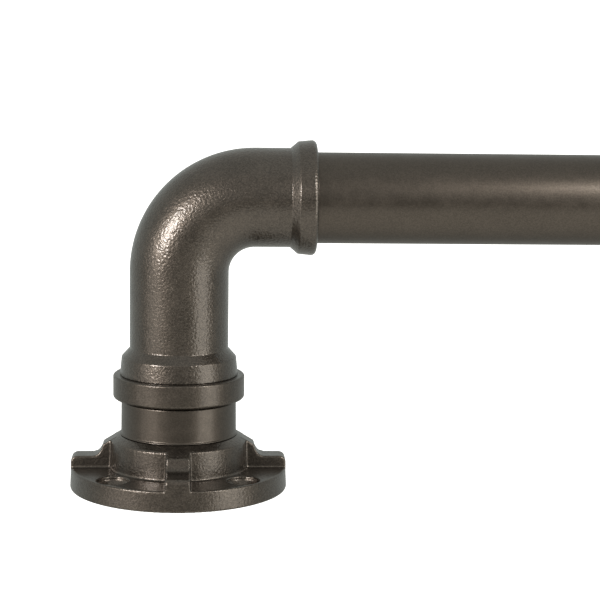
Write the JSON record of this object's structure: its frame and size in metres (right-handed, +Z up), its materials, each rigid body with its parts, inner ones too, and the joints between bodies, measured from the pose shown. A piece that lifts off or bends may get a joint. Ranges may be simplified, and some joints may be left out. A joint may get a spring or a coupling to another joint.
{
  "type": "curtain rod with brackets",
  "caption": "Telescoping curtain rod in dark bronze; each end has a pipe-style elbow and lock ring that stand on a round ribbed flange screwed to the wall.",
  "frame": {"origin": "centre of the right-hand wall flange's flat back face, on the wall", "axes": "+Z up as mounted, +Y into the wall (outward normal of the flange backs), +X along the rod towards the right as seen from the room, so the rod runs from the origin towards -X"},
  "size_m": [0.7724, 0.0987, 0.0614],
  "materials": {
    "cast_bronze": "dark bronze metallic powder coat over an orange-peel cast surface, satin",
    "smooth_bronze": "dark bronze metallic powder coat over smooth tube, satin with fine flake",
    "black_steel": "black oxide steel, satin",
    "plain_zinc": "bare cast zinc, satin",
    "black_nylon": "moulded black nylon, matte"
  },
  "bodies": {
    "flange_right": {"wall_flange_right": "cast_bronze", "hub_nipple_right": "smooth_bronze", "swivel_washer_right": "black_nylon"},
    "elbow_right": {"elbow_right": "cast_bronze", "lock_ring_right": "cast_bronze", "rod_plug_right": "plain_zinc"},
    "ring_screw_right": {"ring_grub_screw_right": "black_steel"},
    "rod_screw_right": {"rod_grub_screw_right": "black_steel"},
    "outer_rod": {"outer_tube": "smooth_bronze", "mouth_bush": "black_nylon"},
    "inner_rod": {"inner_tube": "smooth_bronze", "tail_guide": "black_nylon"},
    "elbow_left": {"elbow_left": "cast_bronze", "lock_ring_left": "cast_bronze", "rod_plug_left": "plain_zinc", "reducer_ring": "black_nylon"},
    "ring_screw_left": {"ring_grub_screw_left": "black_steel"},
    "rod_screw_left": {"rod_grub_screw_left": "black_steel"},
    "flange_left": {"wall_flange_left": "cast_bronze", "hub_nipple_left": "smooth_bronze", "swivel_washer_left": "black_nylon"}
  },
  "joints": [
    {"name": "elbow_swivel_right", "type": "hinge", "parent": "flange_right", "child": "elbow_right", "pos_m": [0, -0.028, 0], "axis": [0, 1, 0], "continuous": true},
    {"name": "ring_screw_turn_right", "type": "hinge", "parent": "elbow_right", "child": "ring_screw_right", "pos_m": [0, -0.02915, -0.015], "axis": [0, 0, 1], "continuous": true},
    {"name": "rod_screw_turn_right", "type": "hinge", "parent": "elbow_right", "child": "rod_screw_right", "pos_m": [-0.0348, -0.0825, -0.0145], "axis": [0, 0, 1], "continuous": true},
    {"name": "rod_turn", "type": "hinge", "parent": "elbow_right", "child": "outer_rod", "pos_m": [-0.0348, -0.0825, 0], "axis": [1, 0, 0], "continuous": true},
    {"name": "rod_extend", "type": "slide", "parent": "outer_rod", "child": "inner_rod", "axis": [-1, 0, 0], "range_m": [0, 0.508]},
    {"name": "elbow_turn_left", "type": "hinge", "parent": "inner_rod", "child": "elbow_left", "pos_m": [-0.6762, -0.0825, 0], "axis": [1, 0, 0], "continuous": true},
    {"name": "rod_screw_turn_left", "type": "hinge", "parent": "elbow_left", "child": "rod_screw_left", "pos_m": [-0.6762, -0.0825, -0.0145], "axis": [0, 0, 1], "continuous": true},
    {"name": "ring_screw_turn_left", "type": "hinge", "parent": "elbow_left", "child": "ring_screw_left", "pos_m": [-0.711, -0.02915, -0.015], "axis": [0, 0, 1], "continuous": true},
    {"name": "flange_swivel_left", "type": "hinge", "parent": "elbow_left", "child": "flange_left", "pos_m": [-0.711, -0.028, 0], "axis": [0, 1, 0], "continuous": true}
  ]
}
